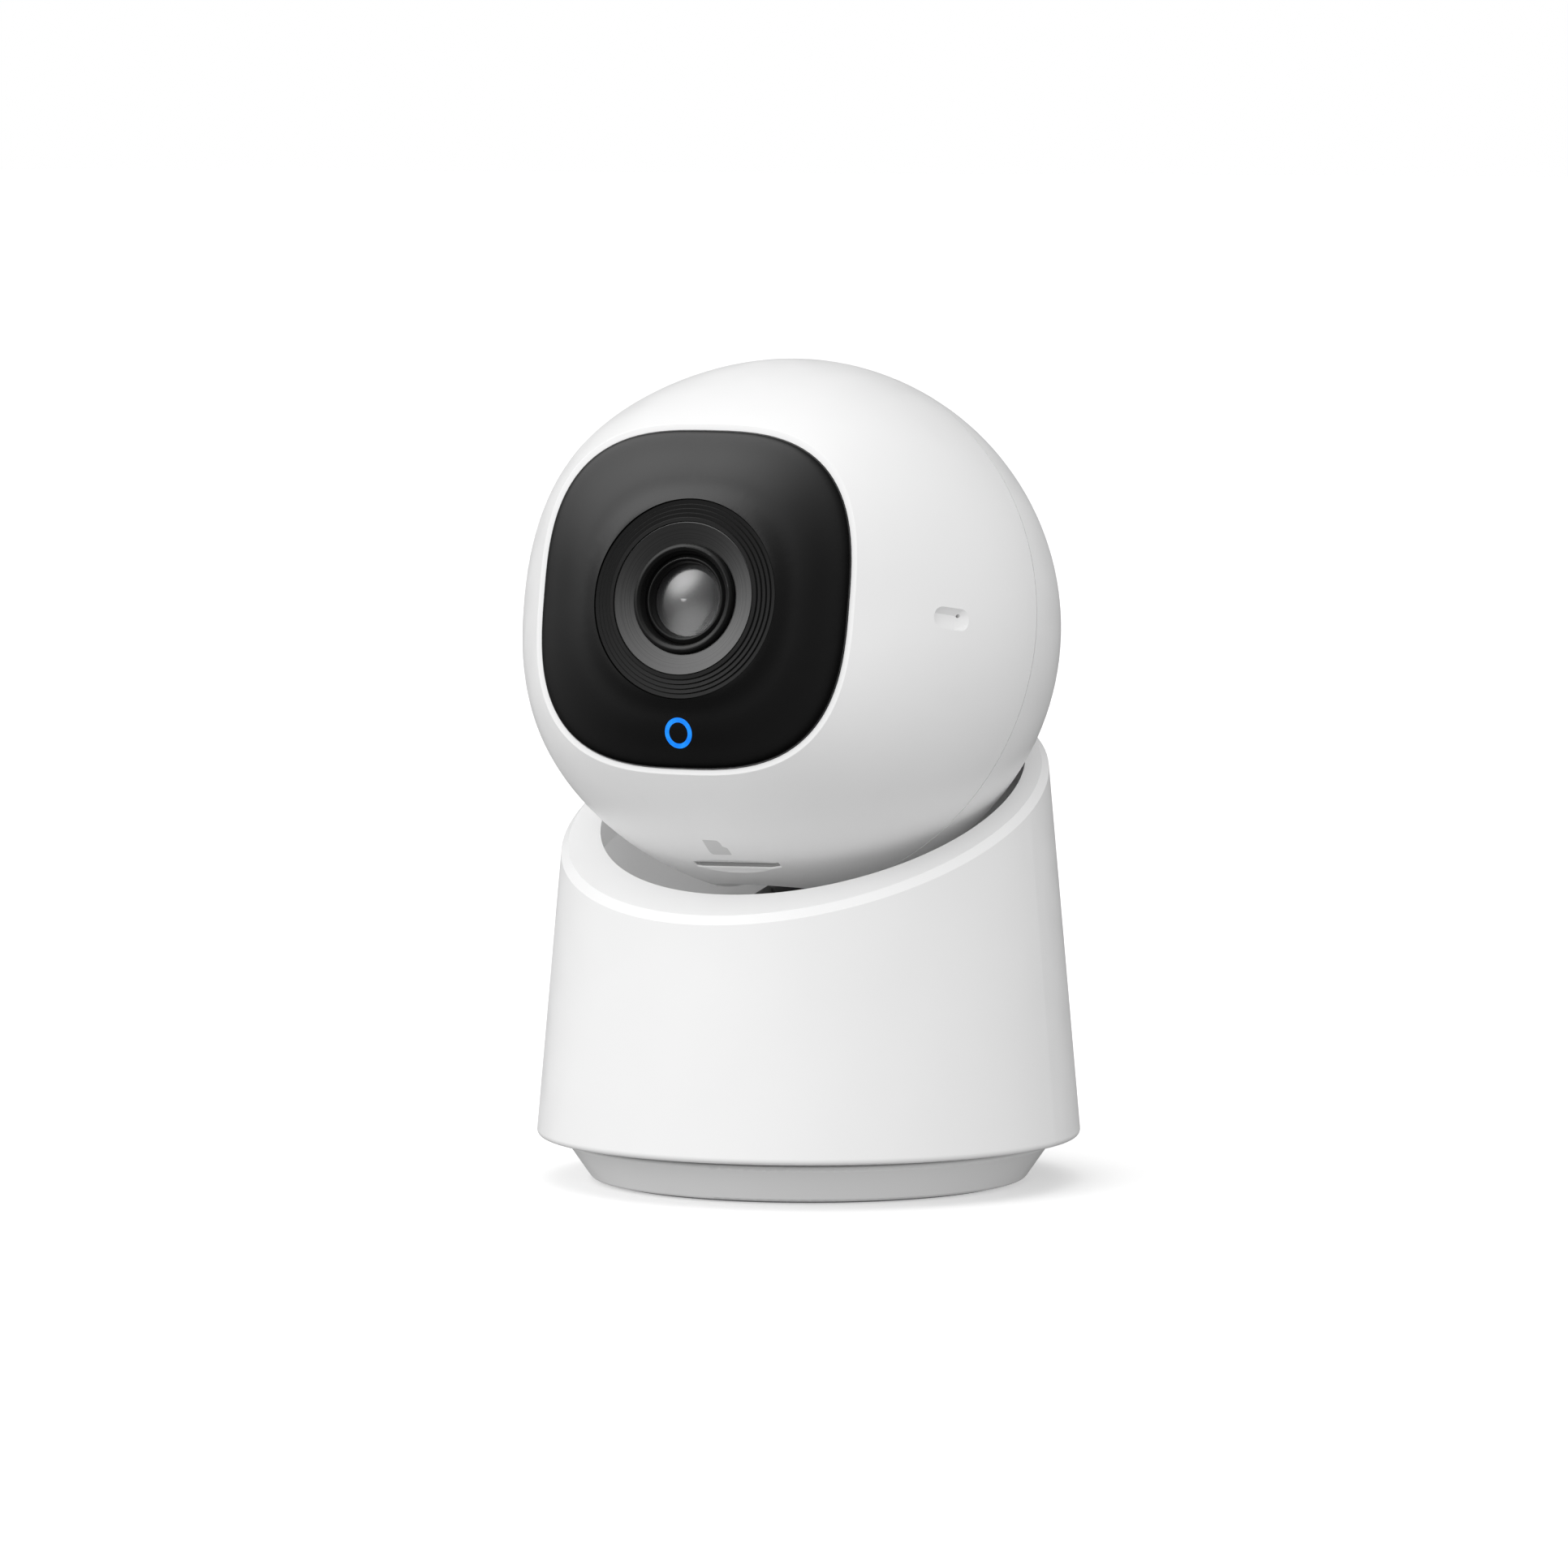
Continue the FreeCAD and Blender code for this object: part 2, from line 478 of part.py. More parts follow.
# ---- head ----
def make_head_shells():
    slot_end = -(TILT_HIGH + math.degrees(math.asin(NECK_BACK / BALL_R)) + 1.8)
    nose = Part.makeCylinder(SLOT_R, 30, V(0, -48, SLOT_NOSE), V(0, 1, 0))
    track = sector_x(26, 44, SLOT_R, slot_end, 0.0)
    nose = nose.common(Part.makeBox(60, 60, 30, V(-30, -60, -1.5)))
    slot = fused([nose, track])

    front = front_body(0.0, -6.0, LIP_H)
    front = front.cut(front_body(WALL, -8.0, 24.8))
    front = front.common(Part.makeBox(100, 100, 60, V(-50, -50, SEAM_H)))
    pocket = Part.makeLoft([squircle(WINDOW_HALF + 0.06, SQUARENESS, 27.0, 0.3),
                            squircle(WINDOW_HALF + 0.06, SQUARENESS, 31.0, 0.3)], True, False)
    through = Part.makeLoft([squircle(20.4, SQUARENESS, 20.0, 0.3),
                             squircle(20.4, SQUARENESS, 31.0, 0.3)], True, False)
    lip_edge = [e for e in front.Edges if e.BoundBox.ZMin > LIP_H - 0.05]
    front = front.makeFillet(0.12, lip_edge)
    outside = front_body(0.6, -6.0, LIP_H - 0.6)
    bosses = [rod(2.5, 11.0, 26.5, x, y).common(outside) for x, y in FRAME_BOSSES]
    front = fused([front] + bosses)
    front = front.cut(pocket).cut(through)
    for x, y in FRAME_BOSSES:
        front = front.cut(rod(0.9, 10, 20, x, y))
    front = front.cut(slot)
    # microphone recess on the flank, with a sloping roof and a sloping rear end
    mouth = outline([(-3.0, -1.45, 1.42), (3.0, -1.45, 1.42), (3.0, 1.45, 1.42), (-3.0, 1.45, 1.42)])
    floor = outline([(-2.9, -1.38, 1.0), (1.15, -1.38, 0.25), (1.15, 0.55, 0.25), (-2.9, 0.55, 0.9)])
    floor.translate(V(0, 0, -0.95))
    above = mouth.copy()
    above.translate(V(0, 0, 2.0))
    recess = fused([Part.makeLoft([floor, mouth], True, True), Part.makeLoft([mouth, above], True, True)])
    for cutter in (recess, rod(0.25, -6, 0, 1.45, 0.55)):
        cutter.translate(V(0, 0, BALL_R))
        cutter.rotate(V(0, 0, 0), V(0, 1, 0), MIC_ANGLE)
        front = front.cut(cutter)
    # memory card slot, its finger scoop and the card mark, moulded flush in a second colour
    front = front.cut(block((-5.4, 7.4), (-40, -28), (CARD_LOW, CARD_HIGH), 0.2))
    front = front.cut(card_scoop(SCOOP_R))
    mark = plate([(-1.52, 1.75), (0.65, 1.72, 0.3), (0.95, 1.1, 0.3), (0.96, 0.38, 0.2), (1.57, -0.02, 0.2),
                  (1.59, -1.72, 0.12), (-1.3, -1.75, 0.3), (-1.52, -1.1, 0.3)], -0.3, 2)
    mark.translate(V(0.15, 0, 0))
    mark = on_ball(mark, 29.6)
    head("card_mark", front.common(mark))
    front = front.cut(mark)
    head("front_shell", front)

    rear = Part.makeSphere(BALL_R).cut(Part.makeSphere(BALL_R - WALL))
    rear = rear.cut(Part.makeBox(100, 100, 60, V(-50, -50, SEAM_H - SEAM_GAP)))
    lip = Part.makeSphere(BALL_R - WALL - 0.1).cut(Part.makeSphere(BALL_R - WALL - 1.2))
    lip = lip.common(Part.makeBox(100, 100, 5.2, V(-50, -50, -2.0)))
    lip = lip.cut(Part.makeBox(27, 100, 20, V(-13.5, -50, -10)))
    tie = Part.makeSphere(BALL_R - WALL + 0.2).cut(Part.makeSphere(BALL_R - WALL - 1.2))
    tie = tie.common(Part.makeBox(100, 100, 1.6, V(-50, -50, -2.0)))
    tie = tie.cut(Part.makeBox(27, 100, 20, V(-13.5, -50, -10)))
    rear = fused([rear, lip, tie]).cut(slot)
    head("rear_shell", rear)


def make_window():
    edge = [(WINDOW_HALF, LIP_H), (WINDOW_HALF - 0.05, LIP_H + 0.3), (WINDOW_HALF - 0.33, LIP_H + 0.62),
            (WINDOW_HALF - 0.95, LIP_H + 0.9)]
    halves = (20.4, 18.6, 16.6, 14.6, 12.6, 10.0)
    glass = crown_body(edge + [(half, crown_height(half)) for half in halves], LIP_H - 2.55)
    hollow = crown_body([(half - 0.2, crown_height(half) - 2.2) for half in halves], 24.0)
    glass = glass.cut(hollow).cut(rod(LENS_R + 0.01, 20, 40))
    ring = tube(2.0, 1.37, 30.9, 40, 0, -17.75)
    light = ring.common(glass)
    head("window", glass.cut(light))
    head("status_light_ring", light)


def make_lens():
    steps = (12.71, 12.11, 11.50, 10.90)
    rise = 0.15
    outer = LENS_R - 0.02
    inner = 10.28
    seat = 9.4
    height = BEZEL_H
    corners = [(seat, 28.2), (outer + 1.4, 28.2), (outer + 1.4, 29.4), (outer, 29.4)]
    corners.append((outer, height - 0.12))
    corners.append((outer - 0.12, height))
    for radius in steps:
        corners.append((radius, height - 0.05))
        height += rise
        corners.append((radius - 0.02, height - 0.06))
        corners.append((radius - 0.1, height))
    corners.append((inner + 0.06, height))
    corners.append((inner, height - 0.06))
    corners.append((inner, height - 0.9))
    corners.append((seat, height - 0.9))
    head("lens_bezel", turned(corners))
    edge = height - 0.1
    head("mirror_ring", turned([(inner - 0.02, edge), (inner - 0.14, edge + 0.06), (7.42, edge - 0.4),
                                (7.42, edge - 0.79), (inner - 0.02, edge - 0.79)]))
    crest = edge + 0.12
    head("lens_barrel", turned([(7.38, 17.6), (7.38, crest - 0.1, 0.36), (6.85, crest + 0.12, 0.3),
                                (6.3, crest - 0.1, 0.3), (6.02, crest - 0.9), (6.02, 30.4), (5.0, 30.4),
                                (5.0, 17.6)]))
    head("lens_retainer", turned([(6.0, 30.4), (6.0, 32.3), (5.75, 32.5, 0.2), (5.42, 32.8, 0.25),
                                  (5.1, 32.5, 0.2), (4.86, 31.7), (4.86, 30.4)]))
    cap = Part.makeSphere(8.4, V(0, 0, 33.05 - 8.4)).common(rod(4.84, 30.9, 34))
    head("front_lens", cap.cut(Part.makeSphere(7.4, V(0, 0, 32.1 - 7.4))))
    head("aperture_stop", turned([(4.96, 29.2), (4.96, 30.35), (4.5, 30.35), (1.05, 29.7), (0.95, 29.5),
                                  (0.95, 29.2)]))
    dome = Part.makeSphere(1.3, V(0, 0, 28.9)).common(rod(0.93, 27.5, 31))
    head("second_lens", fused([dome, rod(4.96, 24.6, 29.2)]))
    head("rear_lens", turned([(0, 19.4), (4.96, 20.2), (4.96, 24.6), (0, 24.6)]))


def make_lens_holder():
    body = block((-10, 10), (-9, 9), (13.2, 21.0), 1.5)
    body = body.cut(rod(7.38, 17.6, 22)).cut(rod(5.2, 13, 22))
    body = body.cut(block((-6.5, 6.5), (-6.5, 6.5), (12.0, 14.9), 0.5))
    body = body.cut(block((-11, 11), (-4.35, 4.35), (15.3, 16.6)))
    head("lens_holder", body)
    frame = block((-4.4, 10.9), (-4.1, 4.1), (15.5, 16.4), 0.5)
    panes = []
    for x in (0.0, FILTER_TRAVEL):
        frame = frame.cut(block((x - 2.85, x + 2.85), (-2.85, 2.85), (15.7, 16.5)))
        frame = frame.cut(block((x - 2.4, x + 2.4), (-2.4, 2.4), (15, 17)))
        panes.append(block((x - 2.85, x + 2.85), (-2.85, 2.85), (15.7, 16.3)))
    head("filter_frame", frame)
    head("filter_panes", Part.makeCompound(panes))
    head("sensor_board", block((-13, 13), (-12, 12), (12.0, 13.2), 1.5))
    head("image_sensor", block((-4.2, 4.2), (-3.2, 3.2), (13.2, 14.4), 0.2))


def make_head_frame():
    bar = block((-23.2, 23.2), (-15.6, 15.6), (9.0, 11.0), 2.5)
    pieces = [bar]
    for low in (20.2, -23.2):
        pieces.append(block((low, low + 3.0), (-7.0, 7.0), (-7.0, 11.0)))
    for low in (-12.5, 10.5):
        pieces.append(block((low, low + 2.0), (-11.5, 11.5), (11.0, 12.0)))
    for x in BOARD_POSTS:
        pieces.append(rod(1.8, -16.8, 10.0, x, 13.0))
    pieces.append(block((9.4, 10.2), (4.9, 19.8), (-7.5, 10.0)))
    frame = fused(pieces)
    frame = frame.cut(rod_x(4.0, 19, 24)).cut(rod_x(4.0, -24, -19))
    frame = frame.cut(rod_x(10.2, 10.4, 13.2))
    frame = frame.cut(rod_x(1.5, 9, 11, TILT_GAP, 0))
    for x, y in FRAME_BOSSES:
        frame = frame.cut(rod(0.9, 8, 12, x, y))
    for x in BOARD_POSTS:
        frame = frame.cut(rod(0.9, -17, -12, x, 13.0))
    head("head_frame", frame)
    head("head_frame_screws", Part.makeCompound(
        [screw(x, y, 9.0, 8.0, 0.9, up=True) for x, y in FRAME_BOSSES]))
    bushes = []
    for low in (20.2, -23.2):
        bushes.append(rod_x(4.0, low, low + 3.0).cut(rod_x(2.5 + RUN_CLEAR, low - 1, low + 4)))
    head("tilt_bushes", Part.makeCompound(bushes))


def make_tilt_drive():
    face = 9.4
    can = turned([(0, 0.4), (7.4, 0.4, 0.6), (7.4, face, 0.5), (0, face)])
    can = can.cut(rod(1.0 + RUN_CLEAR, 6.0, 10))
    pinion = gear(PINION_TEETH, 10.6, 13.0, 0.9, TILT_MESH + 180 + 180.0 / PINION_TEETH)
    pinion = fused([pinion, rod(1.0, 6.4, 13.0)])
    for name, shape in (("tilt_motor", can), ("tilt_pinion", pinion)):
        shape = along_x(shape)
        shape.translate(V(0, TILT_GAP, 0))
        head(name, shape)


def make_head_electronics():
    # one board behind the window carries the infrared LEDs and the status LED
    board = Part.makeLoft([squircle(22.8, SQUARENESS, 24.0), squircle(22.8, SQUARENESS, 24.78)], True, False)
    board = board.cut(rod(11.5, 20, 30))
    for x, y in FRAME_BOSSES:
        board = board.cut(rod(2.7, 20, 30, x, y))
    head("led_board", board)
    leds = []
    for x in (-12.5, 12.5):
        led = turned([(0, 24.78), (1.9, 24.78), (1.9, 26.6), (1.5, 26.6, 0.2), (1.3, 27.9, 0.5), (0, 28.1)])
        led.translate(V(x, 14.5, 0))
        leds.append(led)
    head("infrared_leds", Part.makeCompound(leds))
    head("status_led", block((-1.2, 1.2), (-18.6, -16.9), (24.78, 25.7), 0.2))
    main_board = block((-18, 18), (2.0, 20.0), (-18.0, -16.8), 1.5)
    for x in BOARD_POSTS:
        main_board = main_board.cut(rod(0.9, -20, -15, x, 13.0))
    head("main_board", main_board)
    head("main_board_screws", Part.makeCompound(
        [screw(x, 13.0, -18.0, 5.0, 0.9, up=True) for x in BOARD_POSTS]))
    chips = [block((-7, 5), (6, 16), (-16.8, -15.6), 0.4), block((7.5, 13), (5, 10.5), (-16.8, -15.8), 0.3),
             block((-15, -10), (5, 9), (-16.8, -15.4), 0.3)]
    head("main_board_chips", Part.makeCompound(chips))
    fins = [block((-7, 5), (6, 16), (-19.5, -18.0), 0.4)]
    for i in range(5):
        fins.append(block((-6.6 + 2.6 * i, -5.8 + 2.6 * i), (6, 16), (-22.5, -19.0)))
    head("heat_sink", fused(fins))
    head("wifi_antenna", block((-12, 12), (20.0, 20.6), (-21.5, -12.0)))
    mic = turned([(0, 31.9), (2.2, 31.9), (2.2, 34.2), (0, 34.2)])
    mic.rotate(V(0, 0, 0), V(0, 1, 0), MIC_ANGLE)
    head("microphone", mic)
    head("card_board", block((-9, 11), (-29.0, -16.5), (11.0, 12.0), 0.8))
    cage = block((-6.0, 8.0), (-30.4, -17.0), (12.0, 14.4), 0.4)
    mouth = block((-5.35, 7.35), (-40.0, -30.0), (CARD_LOW + 0.05, CARD_HIGH - 0.05), 0.2)
    mouth = mouth.common(Part.makeSphere(BALL_R - 0.15)).cut(card_scoop(SCOOP_R + 0.15))
    cage = fused([cage, mouth])
    cage = cage.cut(block((-4.7, 6.7), (-40.0, -18.0), (CARD_LOW + 0.25, CARD_HIGH - 0.25)))
    head("card_socket", cage)


def main():
    make_foot()
    make_turret_shell()
    make_chassis()
    make_bowl_and_neck()
    make_pan_drive()
    make_base_electronics()
    make_head_shells()
    make_window()
    make_lens()
    make_lens_holder()
    make_head_frame()
    make_tilt_drive()
    make_head_electronics()
    os.makedirs("parts", exist_ok=True)
    for name, shape in nodes.items():
        shape.exportStep("parts/%s.step" % name)
    print(len(nodes), "nodes written")


main()
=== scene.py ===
import json
import math

import bpy
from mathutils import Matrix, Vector

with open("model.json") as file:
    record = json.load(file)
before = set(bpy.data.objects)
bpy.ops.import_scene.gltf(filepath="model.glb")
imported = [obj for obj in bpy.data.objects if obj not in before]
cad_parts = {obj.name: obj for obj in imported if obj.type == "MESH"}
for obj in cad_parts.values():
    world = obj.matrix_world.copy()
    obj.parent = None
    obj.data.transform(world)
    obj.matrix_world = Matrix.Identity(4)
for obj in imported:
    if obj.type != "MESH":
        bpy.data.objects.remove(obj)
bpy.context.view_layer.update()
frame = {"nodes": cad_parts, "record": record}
nodes = frame["nodes"]
scene = bpy.context.scene

# ---- places: the ball centre and the direction of the lens at rest ----
tilt_joint = next(j for j in frame["record"]["behaviour"]["joints"] if j["name"] == "tilt")
BALL = Vector(tilt_joint["pos_m"])
REST_TILT = math.radians(9.8)
LENS_AXIS = Vector((0, -math.cos(REST_TILT), math.sin(REST_TILT)))

# ---- camera ----
VIEW_AZIMUTH = math.radians(26.241)     # towards +X from straight ahead
VIEW_ELEVATION = math.radians(4.559)
VIEW_DISTANCE = 1.2
VIEW_SIDE = -0.003376                   # sideways shift of the camera from the pan axis
VIEW_HEIGHT = 0.054035                  # height that it looks at, on the pan axis
FOCAL_MM = 201.8
SENSOR_MM = 36.0

# ---- light: strengths are steps of (cosine to a direction, strength) ----
ROOM_FROM = (-0.62, -0.60, 0.50)
ROOM_STEPS = ((-1.0, 0.50), (0.0, 0.82), (0.6, 1.12), (1.0, 1.4))
HEIGHT_STEPS = ((-1.0, 0.55), (-0.3, 0.78), (0.05, 1.0), (1.0, 1.0))
SHEEN_FROM = (-0.55, -0.45, 0.70)
SHEEN_STEPS = ((-1.0, 0.05), (0.5, 0.12), (0.62, 0.2), (0.79, 0.5), (0.86, 1.0), (0.95, 2.1), (1.0, 2.6))
KEY_PLACE = (-1.0, -1.4, 0.9)
KEY_POWER = 5.0
FILL_PLACE = (1.71, -0.59, 0.85)
FILL_POWER = 9.0
LIGHT_SIDE = 1.2
LIGHT_AIM = (0, 0, 0.06)
FLOOR_REACH = 12.0


# ---- node helpers ----
class Maker:
    """Builds one node material step by step."""

    def __init__(self, name):
        self.material = bpy.data.materials.new(name)
        self.material.use_nodes = True
        self.tree = self.material.node_tree
        self.shader = self.tree.nodes["Principled BSDF"]
        self.place = self.tree.nodes.new("ShaderNodeTexCoord")

    def node(self, kind, **settings):
        made = self.tree.nodes.new(kind)
        for key, value in settings.items():
            setattr(made, key, value)
        return made

    def link(self, start, end):
        self.tree.links.new(start, end)

    def set(self, **values):
        for key, value in values.items():
            self.shader.inputs[key.replace("_", " ")].default_value = value

    def noise(self, scale, detail=4.0, rough=0.5, stretch=(1, 1, 1)):
        mapping = self.node("ShaderNodeMapping")
        mapping.inputs["Scale"].default_value = stretch
        noise = self.node("ShaderNodeTexNoise")
        noise.inputs["Scale"].default_value = scale
        noise.inputs["Detail"].default_value = detail
        noise.inputs["Roughness"].default_value = rough
        self.link(self.place.outputs["Object"], mapping.inputs["Vector"])
        self.link(mapping.outputs["Vector"], noise.inputs["Vector"])
        return noise.outputs["Fac"]

    def ramp(self, source, low, high, start=0.35, end=0.65):
        ramp = self.node("ShaderNodeValToRGB")
        ramp.color_ramp.elements[0].position = start
        ramp.color_ramp.elements[1].position = end
        ramp.color_ramp.elements[0].color = low
        ramp.color_ramp.elements[1].color = high
        self.link(source, ramp.inputs["Fac"])
        return ramp.outputs["Color"]

    def span(self, source, low, high, start=0.3, end=0.7):
        span = self.node("ShaderNodeMapRange")
        span.inputs["From Min"].default_value = start
        span.inputs["From Max"].default_value = end
        span.inputs["To Min"].default_value = low
        span.inputs["To Max"].default_value = high
        self.link(source, span.inputs["Value"])
        return span.outputs["Result"]

    def to_world(self, vector):
        """Direction fixed to the piece, as the shader needs it."""
        turn = self.node("ShaderNodeVectorTransform", vector_type="VECTOR", convert_from="OBJECT",
                         convert_to="WORLD")
        self.link(vector, turn.inputs["Vector"])
        return turn.outputs["Vector"]

    def bump(self, source, strength, distance):
        bump = self.node("ShaderNodeBump")
        bump.inputs["Strength"].default_value = strength
        bump.inputs["Distance"].default_value = distance
        self.link(source, bump.inputs["Height"])
        self.link(bump.outputs["Normal"], self.shader.inputs["Normal"])


def grey(level):
    return (level, level, level, 1.0)


def moulded(name, colour, roughness, grain=0.03, shift=0.012, gloss=0.5):
    """Injection moulded plastic: fine spark-eroded grain, and a slight drift of tone and gloss."""
    make = Maker(name)
    drift = make.noise(28.0, 3.0)
    low = tuple(max(0.0, c - shift) for c in colour[:3]) + (1.0,)
    high = tuple(min(1.0, c + shift) for c in colour[:3]) + (1.0,)
    make.link(make.ramp(drift, low, high), make.shader.inputs["Base Color"])
    spread = make.noise(160.0, 5.0, 0.6)
    make.link(make.span(spread, roughness - 0.05, roughness + 0.05), make.shader.inputs["Roughness"])
    make.bump(make.noise(5200.0, 3.0, 0.65), grain, 0.00004)
    make.set(Specular_IOR_Level=gloss)
    return make.material


def metal(name, colour, roughness, stretch=(1, 1, 1), scale=900.0):
    """Drawn, turned or plated metal with fine scratches along one direction."""
    make = Maker(name)
    marks = make.noise(scale, 6.0, 0.7, stretch)
    low = tuple(c * 0.86 for c in colour[:3]) + (1.0,)
    make.link(make.ramp(marks, low, colour), make.shader.inputs["Base Color"])
    make.link(make.span(marks, roughness - 0.07, roughness + 0.1), make.shader.inputs["Roughness"])
    make.bump(marks, 0.12, 0.00002)
    make.set(Metallic=1.0)
    return make.material


WHITE = moulded("satin_white", grey(0.83), 0.40)
FOOT = moulded("foot_grey", grey(0.74), 0.45)
# Well liner a little darker than the white shell: painted shade for the inside of the well.
WELL_SHADED_GREY = moulded("well_grey", grey(0.80), 0.5)
NECK = moulded("neck_dark", grey(0.012), 0.4, 0.05, 0.004)
COLLAR = moulded("collar_grey", grey(0.10), 0.5, 0.05, 0.008)
MARK = moulded("mark_grey", grey(0.60), 0.5, 0.03, 0.01)
# Card socket nose in mid grey: painted shade for the dark inside of the card slot.
SLOT_PAINTED_SHADE = moulded("card_slot_painted_shade", grey(0.34), 0.55, 0.05, 0.012)
INNER = moulded("inner_dark", grey(0.06), 0.5, 0.08, 0.01)
ACETAL = moulded("acetal", (0.8, 0.79, 0.74, 1.0), 0.42)
RUBBER = moulded("pad_rubber", (0.16, 0.16, 0.165, 1.0), 0.8, 0.2, 0.02, 0.3)
BEZEL = moulded("bezel_black", grey(0.006), 0.3, 0.02, 0.001, 0.3)
BARREL = moulded("barrel_black", grey(0.005), 0.3, 0.02, 0.001, 0.4)
CHIP = moulded("chip_epoxy", grey(0.02), 0.55, 0.12, 0.004)
PAPER = moulded("cone_paper", grey(0.03), 0.85, 0.3, 0.01, 0.2)
STEEL = metal("plated_steel", (0.62, 0.62, 0.64, 1.0), 0.3)
CAN = metal("drawn_can", (0.66, 0.66, 0.66, 1.0), 0.34, (1, 1, 0.05))
BRASS = metal("turned_brass", (0.76, 0.56, 0.26, 1.0), 0.3, (1, 1, 12))
ALUMINIUM = metal("extruded_aluminium", (0.78, 0.78, 0.79, 1.0), 0.36, (0.05, 1, 1))


def make_board():
    """Solder mask over copper traces."""
    make = Maker("solder_mask")
    cells = make.node("ShaderNodeTexVoronoi", feature="DISTANCE_TO_EDGE", distance="CHEBYCHEV")
    cells.inputs["Scale"].default_value = 420.0
    make.link(make.place.outputs["Object"], cells.inputs["Vector"])
    tracks = make.span(cells.outputs["Distance"], 0.0, 1.0, 0.03, 0.08)
    make.link(make.ramp(tracks, (0.05, 0.26, 0.13, 1), (0.012, 0.13, 0.06, 1), 0.2, 0.8),
              make.shader.inputs["Base Color"])
    make.bump(tracks, 0.2, 0.00003)
    make.link(make.span(make.noise(300.0), 0.25, 0.4), make.shader.inputs["Roughness"])
    return make.material


def make_window_black():
    """Piano black panel that passes infrared."""
    make = Maker("window_black")
    make.link(make.ramp(make.noise(40.0), grey(0.0035), grey(0.005)), make.shader.inputs["Base Color"])
    make.link(make.span(make.noise(120.0), 0.20, 0.24), make.shader.inputs["Roughness"])
    make.set(Specular_IOR_Level=0.5, IOR=1.5)
    return make.material


def make_spun():
    """Dark mirror funnel, spun about the lens axis, so the fine marks run round it."""
    make = Maker("spun_dark")
    offset = make.node("ShaderNodeVectorMath", operation="SUBTRACT")
    offset.inputs[1].default_value = BALL
    make.link(make.place.outputs["Object"], offset.inputs[0])
    turn = make.node("ShaderNodeMapping", vector_type="POINT")
    turn.inputs["Rotation"].default_value = (REST_TILT - math.pi / 2, 0, 0)
    make.link(offset.outputs["Vector"], turn.inputs["Vector"])
    split = make.node("ShaderNodeSeparateXYZ")
    make.link(turn.outputs["Vector"], split.inputs["Vector"])
    around = make.node("ShaderNodeCombineXYZ")
    make.link(split.outputs["X"], around.inputs["X"])
    make.link(split.outputs["Y"], around.inputs["Y"])
    radius = make.node("ShaderNodeVectorMath", operation="LENGTH")
    make.link(around.outputs["Vector"], radius.inputs[0])
    rings = make.node("ShaderNodeTexNoise", noise_dimensions="1D")
    rings.inputs["Scale"].default_value = 6000.0
    make.link(radius.outputs["Value"], rings.inputs["W"])
    tone = make.ramp(rings.outputs["Fac"], grey(0.11), grey(0.14))
    make.link(tone, make.shader.inputs["Base Color"])
    make.link(make.span(rings.outputs["Fac"], 0.30, 0.38), make.shader.inputs["Roughness"])
    tangent = make.node("ShaderNodeVectorMath", operation="CROSS_PRODUCT")
    tangent.inputs[0].default_value = LENS_AXIS
    make.link(offset.outputs["Vector"], tangent.inputs[1])
    make.link(make.to_world(tangent.outputs["Vector"]), make.shader.inputs["Tangent"])
    make.set(Metallic=1.0, Anisotropic=0.8)
    return make.material


def make_front_lens():
    """Dark coated lens: one soft highlight from its outer face, one from its hollow inner face."""
    make = Maker("front_lens_glass")
    film = make.noise(90.0, 2.0)
    make.link(make.ramp(film, (0.004, 0.004, 0.005, 1), (0.008, 0.008, 0.009, 1)),
              make.shader.inputs["Base Color"])
    make.link(make.span(film, 0.16, 0.20), make.shader.inputs["Roughness"])
    surface = make.node("ShaderNodeNewGeometry")
    axis = make.node("ShaderNodeCombineXYZ")
    axis.inputs["Y"].default_value = LENS_AXIS.y
    axis.inputs["Z"].default_value = LENS_AXIS.z
    aim = make.to_world(axis.outputs["Vector"])
    along = make.node("ShaderNodeVectorMath", operation="DOT_PRODUCT")
    make.link(surface.outputs["Normal"], along.inputs[0])
    make.link(aim, along.inputs[1])
    axial = make.node("ShaderNodeVectorMath", operation="SCALE")
    make.link(aim, axial.inputs[0])
    make.link(along.outputs["Value"], axial.inputs["Scale"])
    lateral = make.node("ShaderNodeVectorMath", operation="SUBTRACT")
    make.link(surface.outputs["Normal"], lateral.inputs[0])
    make.link(axial.outputs["Vector"], lateral.inputs[1])
    hollow = make.node("ShaderNodeVectorMath", operation="MULTIPLY_ADD")
    hollow.inputs[1].default_value = (-0.7, -0.7, -0.7)
    make.link(lateral.outputs["Vector"], hollow.inputs[0])
    make.link(aim, hollow.inputs[2])
    unit = make.node("ShaderNodeVectorMath", operation="NORMALIZE")
    make.link(hollow.outputs["Vector"], unit.inputs[0])
    make.link(unit.outputs["Vector"], make.shader.inputs["Coat Normal"])
    make.set(IOR=3.2, Alpha=0.72, Coat_Weight=1.0, Coat_Roughness=0.16, Coat_IOR=1.9)
    return make.material


def make_pupil():
    """Small dark dome deep in the lens, with a bluish catch-light."""
    make = Maker("pupil_glass")
    make.link(make.ramp(make.noise(400.0), grey(0.001), grey(0.003)), make.shader.inputs["Base Color"])
    make.set(IOR=3.6, Roughness=0.12, Specular_Tint=(0.75, 0.87, 1.0, 1.0))
    return make.material


def make_glass(name, tint, coat):
    """Coated lens glass over a dark inside."""
    make = Maker(name)
    film = make.noise(90.0, 2.0)
    make.link(make.ramp(film, tint, tuple(min(1, c * 1.2) for c in tint[:3]) + (1,)),
              make.shader.inputs["Base Color"])
    make.link(make.span(film, 0.02, 0.05), make.shader.inputs["Roughness"])
    make.set(Transmission_Weight=1.0, IOR=1.52, Coat_Weight=coat, Coat_Tint=(0.6, 0.7, 1.0, 1.0))
    return make.material


